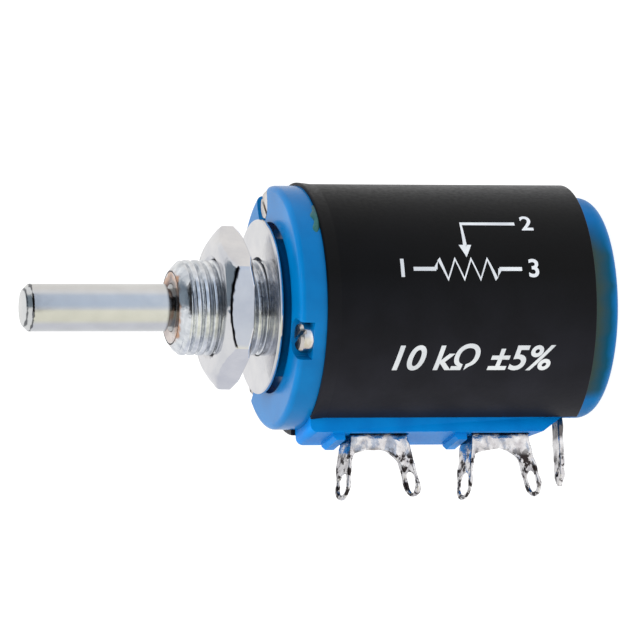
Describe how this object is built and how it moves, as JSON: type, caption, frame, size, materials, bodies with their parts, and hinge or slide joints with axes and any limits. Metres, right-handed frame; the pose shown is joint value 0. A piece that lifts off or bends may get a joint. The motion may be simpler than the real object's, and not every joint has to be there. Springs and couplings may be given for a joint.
{
  "type": "rotary potentiometer",
  "caption": "Multi-turn wirewound potentiometer with a round body, threaded panel bushing, nut, washer, plain shaft and side solder terminals.",
  "frame": {"origin": "on the shaft's axis, at the seat round the bushing that meets the back of the panel", "axes": "+Z along the shaft towards its tip, -X towards the solder terminals, the part stands on its rear cover"},
  "size_m": [0.027, 0.0208, 0.0493],
  "materials": {
    "blue_moulding": "gloss",
    "black_film": "satin",
    "plated_brass": "gloss",
    "plated_steel": "gloss",
    "turned_steel": "satin",
    "tinned_strip": "satin",
    "resistance_wire": "satin",
    "spring_bronze": "satin",
    "contact_brass": "gloss",
    "spring_steel": "satin",
    "rotor_moulding": "matte",
    "carriage_moulding": "matte"
  },
  "bodies": {
    "case": {"front_cover": "blue_moulding", "bushing": "plated_brass", "flat_washer": "plated_steel", "cover_screw_left": "plated_steel", "cover_screw_right": "plated_steel", "cover_screw_top": "plated_steel", "housing": "blue_moulding", "label_sleeve": "black_film", "rear_cover": "blue_moulding", "resistance_element": "resistance_wire", "tap_clip_start": "spring_bronze", "tap_clip_end": "spring_bronze", "terminal_start": "tinned_strip", "terminal_end": "tinned_strip", "terminal_wiper": "tinned_strip", "collector_spring": "spring_bronze", "thrust_washer": "carriage_moulding"},
    "nut": {"mounting_nut": "plated_steel"},
    "spindle": {"shaft": "turned_steel", "retaining_ring": "spring_steel", "rotor": "rotor_moulding", "guide_rod": "contact_brass", "slip_ring": "contact_brass"},
    "carriage": {"wiper_carriage": "carriage_moulding", "wiper_contact": "spring_bronze"}
  },
  "joints": [
    {"name": "shaft_turn", "type": "hinge", "parent": "case", "child": "spindle", "pos_m": [0, 0, 0], "axis": [0, 0, 1], "range_deg": [-1800, 1800]},
    {"name": "wiper_travel", "type": "slide", "parent": "spindle", "child": "carriage", "axis": [0, 0, 1], "range_m": [-0.007, 0.007]},
    {"name": "nut_travel", "type": "slide", "parent": "case", "child": "nut", "axis": [0, 0, 1], "range_m": [-0.0016, 0.0033]}
  ],
  "couplings": [
    {"joint": "wiper_travel", "follows": "shaft_turn", "m_per_rad": 0.00022282}
  ]
}
